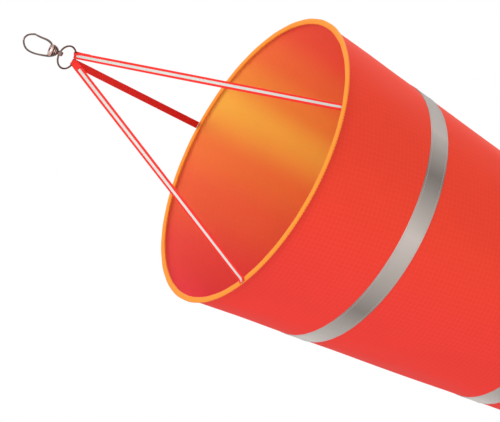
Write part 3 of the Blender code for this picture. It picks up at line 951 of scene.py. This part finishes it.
# ---- Snap hook
# A flattened turned housing with an egg-shaped loop of round wire cast on. The gate is a stouter wire hinged
# on a pin in a slot of the housing, and a hidden spring holds it against the loop's nose.
hook_axes = np.array(Euler((math.radians(138.0), 0.0, stud_yaw)).to_matrix()).T
hook_wire = 0.0018
gate_wire = 0.0020
gate_pivot = np.array([0.0284, 0.0042])
pin_axes = hook_axes[[2, 0, 1]]
rim_edge, groove_edge = 0.0284, 0.0298
neck_groove = (0.0310, 0.0318)


def settled_mesh(piece):
    """The mesh that a piece's curve or modifiers come to."""
    bpy.context.view_layer.update()
    return bpy.data.meshes.new_from_object(piece.evaluated_get(bpy.context.evaluated_depsgraph_get()))


def bend_wire(name, points, diameter, taper=None):
    """A round wire along a smooth curve through control points in the hook's own plane."""
    outline = bpy.data.curves.new(name, "CURVE")
    outline.dimensions = "3D"
    outline.bevel_depth = diameter / 2
    outline.bevel_resolution = 6
    outline.resolution_u = 14
    outline.use_fill_caps = True
    run = outline.splines.new("NURBS")
    run.points.add(len(points) - 1)
    for spot, (point, (along, up)) in enumerate(zip(run.points, points)):
        point.co = (*(hook_axes[0] * along + hook_axes[1] * up), 1.0)
        point.radius = taper[spot] if taper else 1.0
    run.order_u = 4
    run.use_endpoint_u = True
    bent = put_in_scene(name + "_outline", outline)
    shape = settled_mesh(bent)
    bpy.data.objects.remove(bent, do_unlink=True)
    fixer = bmesh.new()
    fixer.from_mesh(shape)
    bmesh.ops.remove_doubles(fixer, verts=fixer.verts, dist=0.000005)
    bmesh.ops.recalc_face_normals(fixer, faces=fixer.faces)
    rims = [edge for edge in fixer.edges if any(len(face.verts) > 4 for face in edge.link_faces)]
    bmesh.ops.bevel(fixer, geom=rims, offset=0.00022, segments=3, profile=0.5, affect="EDGES")
    fixer.to_mesh(shape)
    fixer.free()
    shape.shade_smooth()
    shape.set_sharp_from_angle(angle=math.radians(50))
    return put_in_scene(name, shape)


def cut_gate_slot(housing):
    """Cuts the slot that the gate turns in out of the housing."""
    half = gate_wire / 2 + 0.0002
    low, high = gate_pivot[1] - 0.0018, gate_pivot[1] + 0.004
    ends = [
        [(along, low, -half), (along, high, -half), (along, high, half), (along, low, half)]
        for along in (housing_start - 0.001, gate_pivot[0] + 0.0018)
    ]
    block = skin("gate_slot", np.array(ends) @ hook_axes, capped=True, smooth=False)
    cut = housing.modifiers.new("cut", "BOOLEAN")
    cut.operation = "DIFFERENCE"
    cut.solver = "EXACT"
    cut.object = block
    shape = settled_mesh(housing)
    housing.modifiers.remove(cut)
    housing.data = shape
    bpy.data.objects.remove(block, do_unlink=True)
    shape.shade_smooth()
    shape.set_sharp_from_angle(angle=math.radians(32))


# Painted highlight and painted shade: a bright pink metal for the housing's front rim, and a dark one for its
# grooves.
rim_with_painted_highlight = metal_finish("painted_highlight_rim", as_light(204, 170, 162), as_light(224, 194, 186), 0.6)
groove_painted_shade = metal_finish("groove_painted_shade", as_light(62, 48, 42), as_light(88, 70, 62), 0.5)


def build_housing():
    profile = [(housing_end, 0.0015), (housing_end, 0.0044), (0.0325, 0.0049), (0.0319, 0.0051)]
    profile += [(0.0317, 0.0047), (0.0312, 0.0049), (0.0309, 0.0055), (0.0299, 0.0058), (0.0297, 0.0054)]
    profile += [(0.0287, 0.0057), (0.0284, 0.0063), (0.0276, 0.00655), (0.0267, 0.0065)]
    profile += [(housing_start, 0.0060), (housing_start + 0.0002, 0.0052), (housing_start + 0.0002, 0.0015)]
    profile += [(housing_start + 0.0003, 0.0014), (housing_end - 0.0001, 0.0014)]
    profile = rounded(profile, 0.00016, closed=True)
    housing = turn_round("hook_housing", profile, hook_axes, np.zeros(3), 96, flatten=0.68)
    for finish in (cast_metal, rim_with_painted_highlight, groove_painted_shade):
        housing.data.materials.append(finish)
    # Painted highlight on the front rim and painted shade in the grooves: faces before the rim edge take the
    # bright finish, faces in the grooves take the dark one.
    for face in housing.data.polygons:
        along = np.dot(hook_axes[0], face.center)
        if along < rim_edge:
            face.material_index = 1
        elif along < groove_edge or neck_groove[0] < along < neck_groove[1]:
            face.material_index = 2
    cut_gate_slot(housing)
    return housing


loop_points = [(0.0318, -0.0038), (0.0288, -0.0060), (0.0250, -0.0070), (0.0210, -0.0080)]
loop_points += [(0.0128, -0.0093), (0.0042, -0.0086), (-0.0003, -0.0034), (-0.0017, 0.0009)]
loop_points += [(0.0010, 0.0060), (0.0060, 0.0078), (0.0083, 0.0083)]
loop = bend_wire("hook_loop", loop_points, hook_wire, [1.5, 1.35, 1.15, 1, 1, 1, 1, 1, 1, 1.05, 1.12])
housing = build_housing()
pin_section = rounded([(-0.0027, 0.0001), (-0.0027, 0.0005), (0.0027, 0.0005), (0.0027, 0.0001)], 0.00015)
gate_pin = turn_round("gate_pin", pin_section, pin_axes, gate_pivot @ hook_axes[:2], 32, capped=True)
for piece in (loop, housing, gate_pin):
    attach(piece, "hook")
    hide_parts("hook_frame")

gate_points = [(0.0089, 0.0080), (0.0151, 0.0073), (0.0201, 0.0080), (0.0244, 0.0065), (0.02745, 0.00475)]
gate = bend_wire("sprung_gate", gate_points, gate_wire, [0.86, 1.0, 1.06, 1.08, 1.05])
knuckle_section = [(-0.0010, 0.0016), (0.0010, 0.0016), (0.0010, 0.0007), (-0.0010, 0.0007)]
knuckle_section = rounded(knuckle_section, 0.00015, closed=True)
knuckle = turn_round("gate_knuckle", knuckle_section, pin_axes, gate_pivot @ hook_axes[:2], 32)
for piece in (gate, knuckle):
    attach(piece, "gate")
    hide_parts("gate")
for piece in (loop, gate_pin, gate, knuckle):
    piece.data.materials.append(wire_metal)


# ---- Studio
# A pale floor far below the flying sock, soft light from all round, and a long lens that looks up at it.
def soft_light(name, place, target, size, power):
    lamp = bpy.data.lights.new(name, "AREA")
    lamp.shape = "DISK"
    lamp.size = size
    lamp.energy = power
    holder = put_in_scene(name, lamp)
    holder.location = place
    holder.rotation_euler = (Vector(target) - Vector(place)).to_track_quat("-Z", "Y").to_euler()


def build_studio():
    middle = (0.4, 0.0, 0.0)
    soft_light("key_light", (0.6, -3.4, -2.0), middle, 2.8, 14)
    soft_light("top_light", (0.2, -0.6, 3.6), middle, 3.0, 68)
    soft_light("mouth_light", (-3.6, -0.8, -1.6), middle, 1.8, 112)

    sheet = bpy.data.meshes.new("studio_floor")
    half, level = 9.0, -3.3
    corners = [(-half, -half, level), (half, -half, level), (half, half, level), (-half, half, level)]
    sheet.from_pydata(corners, [], [(0, 1, 2, 3)])
    floor = put_in_scene("studio_floor", sheet)
    material, tree, shader, place = new_finish("pale_floor", 0.8, specular=0.2)
    shader.inputs["Base Color"].default_value = (0.93, 0.93, 0.93, 1.0)
    sheet.materials.append(material)

    world = bpy.data.worlds.new("studio")
    bpy.context.scene.world = world
    world.use_nodes = True
    tree = world.node_tree
    tree.nodes.clear()
    way = link_nodes(tree, "ShaderNodeTexCoord").outputs["Generated"]
    height = link_nodes(tree, "ShaderNodeSeparateXYZ", {0: way}).outputs["Z"]
    height = link_nodes(tree, "ShaderNodeMapRange", {"Value": height, "From Min": -1.0}).outputs[0]
    greys = [(0.0, 0.9), (0.3, 0.75), (0.5, 0.55), (0.7, 0.7), (1.0, 0.95)]
    around = colour_steps(tree, height, [(place, (grey, grey, grey, 1.0)) for place, grey in greys])
    soft = link_nodes(tree, "ShaderNodeBackground", {"Color": around, "Strength": 1.07})
    plain = link_nodes(tree, "ShaderNodeBackground", {"Color": (1.0, 1.0, 1.0, 1.0), "Strength": 1.0})
    seen = link_nodes(tree, "ShaderNodeLightPath").outputs["Is Camera Ray"]
    mixed = link_nodes(tree, "ShaderNodeMixShader", {0: seen, 1: soft.outputs[0], 2: plain.outputs[0]})
    out = link_nodes(tree, "ShaderNodeOutputWorld")
    tree.links.new(mixed.outputs[0], out.inputs[0])

    lens = bpy.data.cameras.new("camera")
    lens.lens = 295.4
    lens.sensor_width = 36.0
    lens.clip_end = 50.0
    aim = Vector((0.2882, 0.0298, -0.0359))
    distance = 4.0
    looking_up = 44.05
    turn = Euler((math.radians(90 + looking_up), 0.0, math.radians(-36.78)))
    camera = put_in_scene("camera", lens)
    camera.rotation_euler = turn
    camera.location = aim + turn.to_matrix() @ Vector((0, 0, distance))
    bpy.context.scene.camera = camera
    bpy.context.scene.view_settings.view_transform = "Standard"


build_studio()
